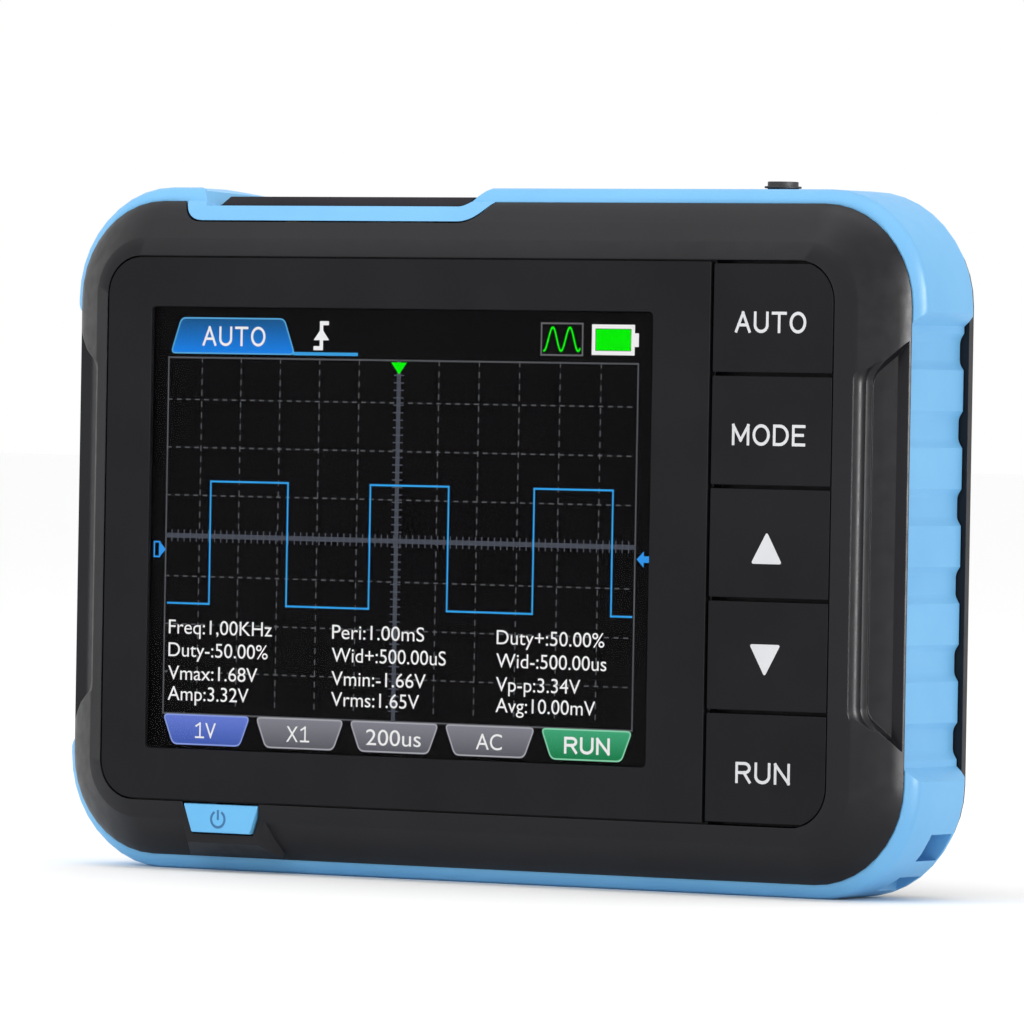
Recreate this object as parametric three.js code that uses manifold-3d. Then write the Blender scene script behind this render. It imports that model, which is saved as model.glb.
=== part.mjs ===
// Mini handheld oscilloscope as an assembly of separate pieces.
// Millimetres. +X is right seen from the front, the front faces -Y, +Z is up.
// Pieces are laid out as (x, depth behind the front plane, height above the middle) and moved to the part's frame last.
import * as THREE from "three";
import { mergeVertices } from "three/addons/utils/BufferGeometryUtils.js";
import Module from "manifold-3d";

const wasm = await Module();
wasm.setup();

// Whole instrument
const HEIGHT = 68.3;
const THICKNESS = 19.5;
const FRONT_Y = -THICKNESS / 2;
const MIDDLE_Z = HEIGHT / 2;
const GAP = 0.15; // clearance between neighbouring covers
const CORNER_STEPS = 10;
const ROUND_STEPS = 24;

// Flat front face: the screen bezel on the left, the key column on the right
const FACE = { left: -42.3, right: 41.95, halfH: 27.05, radius: 3.8 };
const BEZEL_RIGHT = 28.2;
const KEY_LEFT = 28.55;
const WINDOW = { left: -37.06, right: 21.72, low: -21.96, high: 22.12, radius: 0.5 };

// Depths of the layers behind the front plane
const BEZEL_BACK = 0.6;
const BEZEL_SEAT = 0.8;
const PLATE_BACK = 2.3;
const KEY_FLOOR = 2.4;
const KEY_FLOOR_BACK = 3.7;
const SHELL_EDGE = 4.0;
const FRONT_SKIRT_END = 6.8;
const BOARD_FRONT = 7.2;
const BOARD_BACK = 8.6;
const REAR_SKIRT_START = 11.5;
const BLUE_BACK = 14.5;
const REAR_EDGE = 14.65;

// Keys, switches and their travel
const KEY_COUNT = 5;
const KEY_GAP = 0.35;
const KEY_CAP_BACK = 1.8;
const KEY_X = (KEY_LEFT + FACE.right) / 2;
const STEM_END = 4.9;
const STEM = 4.4;
const STEM_HOLE = 5.2;
const SWITCH_BACK = 7.1;
const SWITCH_FRONT = 5.65;
const POWER_X = -27.8;
const POWER_STEM_H = -28.3;

// Covers: [depth, half width, half height, corner radius]
const FRONT_OUTER = [
  [0, 42.45, 27.3, 4.05],
  [0.68, 44.12, 28.91, 5.72],
  [0.78, 44.3, 29.08, 5.9],
  [2.0, 46.1, 30.72, 7.7],
  [3.0, 47.4, 31.88, 8.95],
  [3.6, 48.05, 32.46, 9.55],
  [SHELL_EDGE, 48.35, 32.75, 9.85],
];
const SKIRT = [46.2, 31.0, 8.3];
const SKIRT_INNER = [44.9, 29.7, 7.0];
const BLUE_OUTER = [
  [SHELL_EDGE + GAP, 48.4, 32.8, 9.9],
  [4.45, 48.85, 33.35, 10.45],
  [4.9, 49.3, 33.9, 10.95],
  [5.4, 49.5, 34.15, 11.15],
  [13.5, 49.5, 34.15, 11.15],
  [14.2, 49.2, 33.85, 10.85],
  [BLUE_BACK, 48.6, 33.25, 10.25],
];
const BLUE_INNER = [46.4, 31.2, 8.5];
const REAR_OUTER = [
  [REAR_EDGE, 48.6, 33.3, 10.2],
  [15.6, 48.5, 33.1, 10.0],
  [17.4, 46.8, 31.4, 8.6],
  [18.8, 44.0, 28.6, 6.4],
  [THICKNESS, 41.5, 26.2, 4.5],
];

// Side grips
const GRIP = { face: 48.1, innerH: 21.2, outerH: 23.8 };
const GROOVE = { count: 6, pitch: 7.5, depth: 0.45, floorH: 1.1, mouthH: 1.8 };
const SCOOP = { inner: 44.6, innerH: 16.4, outerH: 20.8, drop: 1.1, round: 0.9, endShare: 0.4 };
// How far the scoop's wall stands outside its outline at each depth: rounded at the rim and at the foot
const SCOOP_WALL = [
  [-1, 1.0],
  [0.7, 0.65],
  [0.92, 0.36],
  [1.15, 0.14],
  [1.45, 0],
  [1.85, -0.05],
  [2.05, -0.22],
  [2.25, -0.5],
  [SHELL_EDGE - 0.2, -0.6],
];

// Fixings, stand and ports
const SCREW = { x: 37.6, h: 27.5, seat: 16.2, shaft: 0.9, head: 1.9 };
const STAND = { halfW: 20, low: -20, hingeH: 8.2, hingeDepth: 18.3, front: 17.6, back: 19.0, pin: 0.8 };
const STAND_POCKET = { halfW: 20.5, low: -20.4, high: 10.3, floor: 17.2 };
const TRAY_FLOOR = 32.3;
const PORT = { left: -32.5, right: -3.2, front: 5.1, back: 13.6, low: 31.95, high: 33.25, slantLeft: 1.3, slantRight: 1.0 };
const JACK = { x: -26.3, depth: 10.6, barrel: 2.4, hole: 2.6, bore: 1.75 };
const USB = { x: -13.5, depth: 10.4, w: 8.94, t: 3.26 };
const TEST = { x: 31.05, depth: 8.5, top: 34.95 };
const LANYARD = { left: 42.4, bar: 45.0, sideLow: -30.3, sideHigh: -27.7, front: 9.3, back: 13.2 };
const BATTERY = { left: -30, right: 20, halfH: 17, front: 10.5, back: 15.3 };

// ---------- geometry helpers ----------

function solid(geometry) {
  const bare = geometry.clone();
  bare.deleteAttribute("normal");
  bare.deleteAttribute("uv");
  const merged = mergeVertices(bare, 1e-4);
  return new wasm.Manifold(
    new wasm.Mesh({
      numProp: 3,
      vertProperties: new Float32Array(merged.attributes.position.array),
      triVerts: new Uint32Array(merged.index.array),
    }),
  );
}

function geometryOf(body) {
  const mesh = body.getMesh();
  const points = new Float32Array(mesh.numVert * 3);
  for (let i = 0; i < mesh.numVert; i++) {
    points.set(mesh.vertProperties.subarray(i * mesh.numProp, i * mesh.numProp + 3), i * 3);
  }
  const geometry = new THREE.BufferGeometry();
  geometry.setAttribute("position", new THREE.BufferAttribute(points, 3));
  geometry.setIndex(new THREE.BufferAttribute(mesh.triVerts, 1));
  const flat = geometry.toNonIndexed();
  flat.computeVertexNormals();
  return flat;
}

function join(...bodies) {
  return bodies.reduce((whole, body) => whole.add(body));
}

function cut(body, ...tools) {
  return tools.reduce((left, tool) => left.subtract(tool), body);
}

// Corner points of a rounded rectangle, anticlockwise seen from the front.
function roundedOutline(left, right, low, high, radius, steps = CORNER_STEPS) {
  const corners = [
    [right - radius, high - radius, 0],
    [left + radius, high - radius, 1],
    [left + radius, low + radius, 2],
    [right - radius, low + radius, 3],
  ];
  return corners.flatMap(([cx, ch, quarter]) =>
    Array.from({ length: steps + 1 }, (_, i) => {
      const angle = (quarter + i / steps) * (Math.PI / 2);
      return [cx + radius * Math.cos(angle), ch + radius * Math.sin(angle)];
    }),
  );
}

// Outline of [x, height, setback] points; a corner with a setback is rounded that far along both its sides.
function softOutline(corners, steps = 5) {
  return corners.flatMap(([x, h, setback], i) => {
    if (!setback) return [[x, h]];
    const towards = (other) => {
      const length = Math.hypot(other[0] - x, other[1] - h);
      return [x + ((other[0] - x) * setback) / length, h + ((other[1] - h) * setback) / length];
    };
    const start = towards(corners[(i + corners.length - 1) % corners.length]);
    const end = towards(corners[(i + 1) % corners.length]);
    return Array.from({ length: steps + 1 }, (_, k) => {
      const t = k / steps;
      const weights = [(1 - t) ** 2, 2 * t * (1 - t), t ** 2];
      return [0, 1].map((axis) => weights[0] * start[axis] + weights[1] * [x, h][axis] + weights[2] * end[axis]);
    });
  });
}

const atDepth = (outline, depth) => outline.map(([x, h]) => [x, depth, h]);

// Closed body through rings of equal point count, ordered from front to back.
function loft(rings) {
  const count = rings[0].length;
  const index = [];
  for (let r = 0; r < rings.length - 1; r++) {
    for (let i = 0; i < count; i++) {
      const a = r * count + i;
      const b = r * count + ((i + 1) % count);
      index.push(a, a + count, b, b, a + count, b + count);
    }
  }
  const last = (rings.length - 1) * count;
  for (let i = 1; i < count - 1; i++) {
    index.push(0, i, i + 1, last, last + i + 1, last + i);
  }
  const geometry = new THREE.BufferGeometry();
  geometry.setAttribute("position", new THREE.Float32BufferAttribute(rings.flat(2), 3));
  geometry.setIndex(index);
  return solid(geometry);
}

function coverLoft(sections, depthShift = 0) {
  return loft(
    sections.map(([depth, halfW, halfH, radius]) =>
      atDepth(roundedOutline(-halfW, halfW, -halfH, halfH, radius), depth + depthShift),
    ),
  );
}

function coverPrism([halfW, halfH, radius], front, back) {
  return coverLoft([
    [front, halfW, halfH, radius],
    [back, halfW, halfH, radius],
  ]);
}

// Flat outline of (x, height) points, run from one depth to another.
function prism(points, front, back) {
  const shape = new THREE.Shape(points.map(([x, h]) => new THREE.Vector2(x, h)));
  const geometry = new THREE.ExtrudeGeometry(shape, { depth: back - front, bevelEnabled: false });
  geometry.rotateX(Math.PI / 2);
  geometry.translate(0, back, 0);
  return solid(geometry);
}

function box(left, right, front, back, low, high) {
  const geometry = new THREE.BoxGeometry(right - left, back - front, high - low);
  geometry.translate((left + right) / 2, (front + back) / 2, (low + high) / 2);
  return solid(geometry);
}

// Rod along one axis; `at` gives the other two coordinates in (x, depth, height) order.
function rod(axis, radius, at, from, to, steps = ROUND_STEPS) {
  const geometry = new THREE.CylinderGeometry(radius, radius, to - from, steps);
  const middle = (from + to) / 2;
  if (axis === "x") {
    geometry.rotateZ(Math.PI / 2);
    geometry.translate(middle, at[0], at[1]);
  } else if (axis === "depth") {
    geometry.translate(at[0], middle, at[1]);
  } else {
    geometry.rotateX(Math.PI / 2);
    geometry.translate(at[0], at[1], middle);
  }
  return solid(geometry);
}

// Round lead along a smooth path of (x, depth, height) points, closed at both ends.
function lead(points, radius) {
  const curve = new THREE.CatmullRomCurve3(points.map((p) => new THREE.Vector3(...p)));
  const steps = 10;
  const sides = 8;
  const frames = curve.computeFrenetFrames(steps, false);
  const rings = Array.from({ length: steps + 1 }, (_, i) => {
    const centre = curve.getPointAt(i / steps);
    return Array.from({ length: sides }, (_, s) => {
      const angle = (s / sides) * 2 * Math.PI;
      return centre
        .clone()
        .addScaledVector(frames.normals[i], radius * Math.cos(angle))
        .addScaledVector(frames.binormals[i], -radius * Math.sin(angle))
        .toArray();
    });
  });
  return loft(rings);
}

const assembly = new THREE.Group();
assembly.name = "handheld_oscilloscope";

function add(name, body, colour, look = {}) {
  const geometry = geometryOf(body);
  geometry.translate(0, FRONT_Y, MIDDLE_Z);
  const material = new THREE.MeshStandardMaterial({ color: colour, roughness: 0.6, ...look });
  const mesh = new THREE.Mesh(geometry, material);
  mesh.name = name;
  assembly.add(mesh);
}

const BLACK = 0x2a2b2e;
const BLUE = 0x7cc4f5;
const STEEL = 0xb9bcc0;
const GOLD = 0xc9a24a;
const CHIP = 0x17181a;

// ---------- front cover ----------

const faceOutline = (grow) =>
  roundedOutline(FACE.left - grow, FACE.right + grow, -FACE.halfH - grow, FACE.halfH + grow, FACE.radius + grow);
const keyPitch = (2 * FACE.halfH) / KEY_COUNT;
const keyHeights = Array.from({ length: KEY_COUNT }, (_, i) => FACE.halfH - keyPitch * (i + 0.5));
const screwSpots = [
  [-SCREW.x, SCREW.h],
  [SCREW.x, SCREW.h],
  [-SCREW.x, -SCREW.h],
  [SCREW.x, -SCREW.h],
];
const windowMiddle = [(WINDOW.left + WINDOW.right) / 2, (WINDOW.low + WINDOW.high) / 2];

// Outline of the notch in the front cover's top edge, grown outwards by `grow`.
const topNotch = (grow) =>
  softOutline([
    [-34.2 - grow, 30.65 - grow, 1.5],
    [-0.7 + grow, 30.65 - grow, 1.5],
    [0.9 + grow, 32.7, 0.7],
    [2.8 + grow, 34.3],
    [-37.0 - grow, 34.3],
  ]);

function mirroredPair(make) {
  return [make(-1), make(1)];
}

function aroundScreen(halfW, halfH, front, back) {
  const [x, h] = windowMiddle;
  return box(x - halfW, x + halfW, front, back, h - halfH, h + halfH);
}

// Shallow finger scoops in the left and right borders.
function scoopTool() {
  const lowered = coverLoft(FRONT_OUTER, SCOOP.drop);
  const zones = mirroredPair((side) =>
    loft(
      SCOOP_WALL.map(([depth, grow]) => {
        const rise = SCOOP.endShare * grow;
        const corners = [
          [side * 49, SCOOP.outerH + rise],
          [side * (SCOOP.inner - grow), SCOOP.innerH + rise, SCOOP.round],
          [side * (SCOOP.inner - grow), -SCOOP.innerH - rise, SCOOP.round],
          [side * 49, -SCOOP.outerH - rise],
        ];
        return atDepth(softOutline(side < 0 ? corners.reverse() : corners), depth);
      }),
    ),
  );
  return cut(join(...zones), lowered);
}

// Raised pad on the lower border that carries the power button.
function powerPad() {
  const ring = (depth, grow) =>
    atDepth(
      [
        [POWER_X - 4.2 - grow, -31.2 - grow],
        [POWER_X + 4.2 + grow, -31.2 - grow],
        [POWER_X + 5.4 + grow, -27.2],
        [POWER_X - 5.4 - grow, -27.2],
      ],
      depth,
    );
  return loft([ring(0.55, 0), ring(3.2, 1.4)]);
}

const powerOutline = (grow) => [
  [POWER_X - 3.5 - grow, -30.2 - grow],
  [POWER_X + 3.5 + grow, -30.2 - grow],
  [POWER_X + 4.5 + grow, -27.35 + grow],
  [POWER_X - 4.5 - grow, -27.35 + grow],
];

function frontShell() {
  let shell = join(coverLoft(FRONT_OUTER), coverPrism(SKIRT, SHELL_EDGE - 0.5, FRONT_SKIRT_END));
  shell = cut(shell, scoopTool());
  shell = join(shell, powerPad());
  shell = cut(
    shell,
    prism(faceOutline(GAP), -1, BEZEL_SEAT),
    prism(faceOutline(GAP), -1, KEY_FLOOR).intersect(box(KEY_LEFT - GAP, 50, -1, 5, -40, 40)),
    aroundScreen(30.8, 23.5, 0, PLATE_BACK + 1),
    box(-43.2, 27.6, PLATE_BACK, 5, -26.2, 26.2),
    coverPrism(SKIRT_INNER, KEY_FLOOR_BACK, 10),
    prism(powerOutline(GAP), -1, 2.2),
    box(POWER_X - 1.8, POWER_X + 1.8, 1, 5, POWER_STEM_H - 1.2, POWER_STEM_H + 1.2),
    prism(topNotch(0), -1, 10),
    box(41.3, 50, SHELL_EDGE, 10, -35, -26),
    ...keyHeights.map((h) =>
      box(KEY_X - STEM_HOLE / 2, KEY_X + STEM_HOLE / 2, 0, 5, h - STEM_HOLE / 2, h + STEM_HOLE / 2),
    ),
  );
  const posts = screwSpots.map(([x, h]) =>
    cut(
      rod("depth", 2.0, [x, h], KEY_FLOOR_BACK - 0.3, BOARD_FRONT - 0.1),
      rod("depth", 1.05, [x, h], 4.6, 9),
    ),
  );
  return join(shell, ...posts);
}

// ---------- blue middle band ----------

// Cord hole of the lower right corner: in at the side, round a bar and out at the underside.
function lanyardTunnel() {
  return [
    box(LANYARD.left, 55, LANYARD.front, LANYARD.back, LANYARD.sideLow, LANYARD.sideHigh),
    box(LANYARD.left, LANYARD.bar, LANYARD.front, LANYARD.back, -40, LANYARD.sideHigh),
  ];
}

// Flat recesses in both sides, each with a row of finger grooves.
function gripTools() {
  const grooveHeights = Array.from({ length: GROOVE.count }, (_, i) => (i - (GROOVE.count - 1) / 2) * GROOVE.pitch);
  const floor = GRIP.face - GROOVE.depth;
  const round = 0.35;
  return mirroredPair((side) => {
    const flat = [
      [side * GRIP.face, -GRIP.innerH],
      [side * 51, -GRIP.outerH],
      [side * 51, GRIP.outerH],
      [side * GRIP.face, GRIP.innerH],
    ];
    const groove = (h) => [
      [side * 51, h - GROOVE.mouthH],
      [side * (GRIP.face + 0.01), h - GROOVE.mouthH],
      [side * floor, h - GROOVE.floorH, round],
      [side * floor, h + GROOVE.floorH, round],
      [side * (GRIP.face + 0.01), h + GROOVE.mouthH],
      [side * 51, h + GROOVE.mouthH],
    ];
    const tools = [flat, ...grooveHeights.map((h) => softOutline(groove(h), 3))];
    return join(...tools.map((outline) => prism(outline, 3, 16)));
  });
}

// Opening of the tray in the top: square at the front, with a long ramp at the left towards the back.
function trayTool() {
  const right = softOutline([
    [-6, TRAY_FLOOR],
    [-2.4, TRAY_FLOOR, 0.7],
    [-0.9, 33.8, 0.8],
    [3.0, 36],
  ]);
  const frontLeft = [
    [-35.6, 36],
    [-34.05, 33.8],
    [-33.0, TRAY_FLOOR],
  ];
  const backLeft = [
    [-49.5, 36],
    [-32.9, 33.44],
    [-32.9, TRAY_FLOOR],
  ];
  return loft([
    atDepth([...right, ...frontLeft], 0),
    atDepth([...right, ...frontLeft], PORT.front),
    atDepth([...right, ...backLeft], PORT.back),
    atDepth([...right, ...backLeft], 16),
  ]);
}

function blueShell() {
  const frontFlush = coverLoft([...FRONT_OUTER, ...BLUE_OUTER.slice(0, 4)]);
  const lip = prism(topNotch(-GAP), 0, 5.4).intersect(frontFlush);
  const band = cut(coverLoft(BLUE_OUTER), coverPrism(BLUE_INNER, SHELL_EDGE + GAP - 0.5, 16));
  const hollow = cut(
    join(band, lip),
    trayTool(),
    box(PORT.left - GAP, PORT.right + GAP, PORT.front - GAP, PORT.back + GAP, PORT.low - GAP, TRAY_FLOOR + 0.3),
    rod("height", JACK.hole, [JACK.x, JACK.depth], 30, 36),
    box(
      USB.x - USB.w / 2 - GAP,
      USB.x + USB.w / 2 + GAP,
      USB.depth - USB.t / 2 - GAP,
      USB.depth + USB.t / 2 + GAP,
      30,
      36,
    ),
    rod("height", 1.65, [TEST.x, TEST.depth], 30, 36),
    ...gripTools(),
  );
  const lanyardCorner = coverLoft(BLUE_OUTER).intersect(box(41.6, 50, 5.9, BLUE_BACK, -35, -26.3));
  return cut(join(hollow, lanyardCorner), ...lanyardTunnel());
}

// ---------- rear cover and stand ----------

function rearCover() {
  let cover = join(coverLoft(REAR_OUTER), coverPrism(SKIRT, REAR_SKIRT_START, REAR_EDGE + 0.5));
  cover = cut(
    cover,
    coverLoft([
      [REAR_SKIRT_START - 1, ...SKIRT_INNER],
      [16.4, ...SKIRT_INNER],
      [17.9, 42, 27, 5],
    ]),
    box(41.3, 50, 10, REAR_EDGE - 0.05, -35, -26),
    box(-31, -7, 10, 13.5, 29, 34),
  );
  const standBoss = box(-22.5, 22.5, 16.1, 18.4, -25, 12.5);
  const tubes = screwSpots.map(([x, h]) => rod("depth", 3.0, [x, h], BOARD_BACK + GAP, 17.4));
  cover = join(cover, standBoss, ...tubes);
  return cut(
    cover,
    ...screwSpots.map(([x, h]) => rod("depth", 1.1, [x, h], 8, 18)),
    ...screwSpots.map(([x, h]) => rod("depth", 2.25, [x, h], SCREW.seat, 21)),
    box(-STAND_POCKET.halfW, STAND_POCKET.halfW, STAND_POCKET.floor, 21, STAND_POCKET.low, STAND_POCKET.high),
    box(-7, 7, 18.0, 21, STAND_POCKET.low - 3, STAND_POCKET.low + 1),
    rod("x", STAND.pin + 0.08, [STAND.hingeDepth, STAND.hingeH], -21.6, 21.6),
  );
}

function kickstand() {
  const knuckle = 0.9;
  const plate = join(
    box(-STAND.halfW, STAND.halfW, STAND.front, STAND.back, STAND.low, STAND.hingeH),
    rod("x", knuckle, [STAND.hingeDepth, STAND.hingeH], -STAND.halfW, STAND.halfW),
  );
  const pins = rod("x", STAND.pin, [STAND.hingeDepth, STAND.hingeH], -21.4, 21.4);
  const relief = box(-13, 13, STAND.back - 0.5, STAND.back + 1, -14, 4);
  const chamfer = rod("x", 1.2, [STAND.back + 0.6, STAND.low], -6, 6);
  return cut(join(plate, pins), relief, chamfer);
}

function rearScrew([x, h]) {
  const headFront = SCREW.seat + 0.1;
  const headBack = headFront + 1.3;
  const blank = join(
    rod("depth", SCREW.head, [x, h], headFront, headBack),
    rod("depth", SCREW.shaft, [x, h], 5.0, headFront + 0.1, 12),
  );
  const slotDepth = 0.7;
  return cut(
    blank,
    box(x - 1.2, x + 1.2, headBack - slotDepth, headBack + 1, h - 0.25, h + 0.25),
    box(x - 0.25, x + 0.25, headBack - slotDepth, headBack + 1, h - 1.2, h + 1.2),
  );
}

// ---------- front face pieces ----------

function bezelPanel() {
  const panel = prism(faceOutline(0), 0, BEZEL_BACK).intersect(box(-50, BEZEL_RIGHT, -1, 3, -40, 40));
  const opening = roundedOutline(WINDOW.left, WINDOW.right, WINDOW.low, WINDOW.high, WINDOW.radius, 3);
  return cut(panel, prism(opening, -1, 3));
}

function displayWindow() {
  const inset = 0.1;
  const outline = roundedOutline(
    WINDOW.left + inset,
    WINDOW.right - inset,
    WINDOW.low + inset,
    WINDOW.high - inset,
    WINDOW.radius - inset,
    3,
  );
  return prism(outline, 0.05, BEZEL_BACK - 0.05);
}

function keyCap(h) {
  const low = h - (keyPitch - KEY_GAP) / 2;
  const high = h + (keyPitch - KEY_GAP) / 2;
  const cap = prism(faceOutline(0), 0, KEY_CAP_BACK).intersect(box(KEY_LEFT, 50, -1, 3, low, high));
  return join(cap, box(KEY_X - STEM / 2, KEY_X + STEM / 2, KEY_CAP_BACK - 0.3, STEM_END, h - STEM / 2, h + STEM / 2));
}

function powerButton() {
  const stem = box(POWER_X - 1.5, POWER_X + 1.5, 1.2, STEM_END, POWER_STEM_H - 0.9, POWER_STEM_H + 0.9);
  return join(prism(powerOutline(0), 0.1, 1.7), stem);
}

function keypadMembrane() {
  const sheet = box(29.3, 41.3, KEY_FLOOR_BACK + GAP, 4.45, -24.5, 24.5);
  return cut(
    sheet,
    ...keyHeights.map((h) =>
      box(KEY_X - STEM_HOLE / 2, KEY_X + STEM_HOLE / 2, 3, 5, h - STEM_HOLE / 2, h + STEM_HOLE / 2),
    ),
  );
}

function switchHousing(x, h, halfW, halfH, holeRadius) {
  return cut(
    box(x - halfW, x + halfW, SWITCH_FRONT, SWITCH_BACK, h - halfH, h + halfH),
    rod("depth", holeRadius, [x, h], SWITCH_FRONT - 1, SWITCH_BACK - 0.2, 16),
  );
}

function switchPlunger(x, h, radius) {
  return rod("depth", radius, [x, h], STEM_END + 0.1, 6.4, 16);
}

// ---------- display stack ----------

function lcdGasket() {
  return cut(aroundScreen(34.5, 24.9, 2.42, 2.8), aroundScreen(31.0, 23.7, 2, 4));
}

function backlightUnit() {
  const tray = aroundScreen(34.6, 25, 2.9, 5.0);
  return cut(tray, aroundScreen(32.5, 23, 4.3, 6));
}

function lcdFlex() {
  const ribbon = box(-17, 3, 5.15, 5.4, -23, -10);
  const tail = box(-14, 0, 5.3, 5.9, -12, -10.4);
  return join(ribbon, tail);
}

function flexConnector() {
  return cut(box(-18, 4, 5.6, SWITCH_BACK, -13.4, -9), box(-15, 1, 5, 6.4, -12.6, -9.8));
}

// ---------- board and connectors ----------

function mainBoard() {
  const board = coverPrism([44, 29.3, 6.4], BOARD_FRONT, BOARD_BACK);
  return cut(
    board,
    ...screwSpots.map(([x, h]) => rod("depth", 1.2, [x, h], 6, 10, 16)),
    box(41.2, 50, 6, 10, -35, -25.9),
  );
}

function mcxJack() {
  const body = join(
    box(JACK.x - 3.2, JACK.x + 3.2, BOARD_BACK + GAP - 0.05, 13.3, 22.6, 29.5),
    rod("height", JACK.barrel, [JACK.x, JACK.depth], 29.4, 33.15),
  );
  return cut(body, rod("height", JACK.bore, [JACK.x, JACK.depth], 26.5, 34));
}

function mcxInsulator() {
  return cut(
    rod("height", 1.6, [JACK.x, JACK.depth], 26.6, 29.6),
    rod("height", 0.6, [JACK.x, JACK.depth], 26, 31, 12),
  );
}

function mcxContact() {
  return rod("height", 0.45, [JACK.x, JACK.depth], 26.6, 32.2, 12);
}

function portTray() {
  const outline = [
    [PORT.left, PORT.low],
    [PORT.right, PORT.low],
    [PORT.right, TRAY_FLOOR],
    [PORT.right + PORT.slantRight, PORT.high],
    [PORT.left + PORT.slantLeft, PORT.high],
    [PORT.left, TRAY_FLOOR],
  ];
  const tray = prism(outline, PORT.front, PORT.back);
  const usbHole = box(USB.x - 4.85, USB.x + 4.85, USB.depth - 2.0, USB.depth + 2.0, 30, 36);
  const jackHole = rod("height", JACK.hole, [JACK.x, JACK.depth], 30, 36);
  const jackSeat = rod("height", 3.6, [JACK.x, JACK.depth - 0.6], PORT.high - 0.35, 36).intersect(
    box(-40, 0, PORT.front + 0.4, PORT.back - 0.4, 30, 36),
  );
  return cut(tray, usbHole, jackHole, jackSeat);
}

function slotOutline(x, depth, width, thickness, low, high) {
  const half = width / 2 - thickness / 2;
  return join(
    box(x - half, x + half, depth - thickness / 2, depth + thickness / 2, low, high),
    rod("height", thickness / 2, [x - half, depth], low, high),
    rod("height", thickness / 2, [x + half, depth], low, high),
  );
}

function usbPort() {
  const shell = slotOutline(USB.x, USB.depth, USB.w, USB.t, 25.0, 33.1);
  return cut(shell, slotOutline(USB.x, USB.depth, USB.w - 0.6, USB.t - 0.6, 26.0, 34));
}

function usbTongue() {
  return box(USB.x - 3.35, USB.x + 3.35, USB.depth - 0.35, USB.depth + 0.35, 26.15, 32.2);
}

function testSocket() {
  const body = join(
    rod("height", 1.5, [TEST.x, TEST.depth], 30.4, TEST.top),
    rod("height", 1.8, [TEST.x, TEST.depth], 34.3, 34.5),
  );
  return cut(body, rod("height", 0.75, [TEST.x, TEST.depth], 29, 36, 16));
}

function testContact() {
  return rod("height", 0.4, [TEST.x, TEST.depth], 29.6, 34.0, 12);
}

function chip(x, h, width, height, thickness) {
  const body = box(x - width / 2, x + width / 2, BOARD_BACK + GAP, BOARD_BACK + GAP + thickness, h - height / 2, h + height / 2);
  const dimple = rod(
    "depth",
    0.35,
    [x - width / 2 + 1, h + height / 2 - 1],
    BOARD_BACK + GAP + thickness - 0.15,
    BOARD_BACK + 5,
    12,
  );
  return cut(body, dimple);
}

function shieldCan() {
  const front = BOARD_BACK + GAP;
  const can = box(22.5, 40.5, front, 11.2, -12, 14);
  return cut(can, box(22.8, 40.2, front - 1, 10.9, -11.7, 13.7));
}

function batteryConnector() {
  const housing = box(-40, -35.5, BOARD_BACK + GAP, 12.0, -3.2, 3.2);
  return cut(housing, box(-39.4, -36.1, 11.2, 13, -2.6, 2.6));
}

function batteryLead(side) {
  return lead(
    [
      [BATTERY.left - 0.2, 13.0, side * 2.2],
      [-31.6, 12.8, side * 2.1],
      [-33.4, 11.0, side * 1.5],
      [-35.3, 10.4, side * 1.2],
    ],
    0.5,
  );
}

function batteryCell() {
  const halfT = (BATTERY.back - BATTERY.front) / 2;
  const depth = (BATTERY.front + BATTERY.back) / 2;
  const round = 1.6;
  const rings = [BATTERY.left, BATTERY.right].map((x) =>
    roundedOutline(depth - halfT, depth + halfT, -BATTERY.halfH, BATTERY.halfH, round, 3)
      .reverse()
      .map(([d, h]) => [x, d, h]),
  );
  return loft(rings);
}

// ---------- assembly ----------

add("front_shell", frontShell(), BLACK);
add("blue_shell", blueShell(), BLUE);
add("rear_cover", rearCover(), BLACK);
add("kickstand", kickstand(), 0x303236);
screwSpots.forEach((spot, i) => add("rear_screw_" + (i + 1), rearScrew(spot), 0x55585c, { metalness: 1 }));

add("bezel_panel", bezelPanel(), 0x1d1e20);
add("display_window", displayWindow(), 0x0d0d0e);
const keyNames = ["auto", "mode", "up", "down", "run"];
keyNames.forEach((name, i) => {
  const h = keyHeights[i];
  add("key_" + name, keyCap(h), 0x26272a);
  add("switch_" + name, switchHousing(KEY_X, h, 2.6, 2.6, 1.75), CHIP);
  add("plunger_" + name, switchPlunger(KEY_X, h, 1.55), 0xd8d2c4);
});
add("power_button", powerButton(), 0x8fcdf6);
add("switch_power", switchHousing(POWER_X, POWER_STEM_H + 0.2, 2.2, 1.3, 0.95), CHIP);
add("plunger_power", switchPlunger(POWER_X, POWER_STEM_H + 0.2, 0.78), 0xd8d2c4);
add("keypad_membrane", keypadMembrane(), 0x8a8d91);

add("lcd_gasket", lcdGasket(), 0x0c0c0c);
add("lcd_glass", aroundScreen(30.4, 23.1, 0.75, 2.75), 0x14161a);
add("backlight_unit", backlightUnit(), STEEL);
add("lcd_flex", lcdFlex(), 0xb5651d);
add("flex_connector", flexConnector(), 0xe8e2d2);

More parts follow.
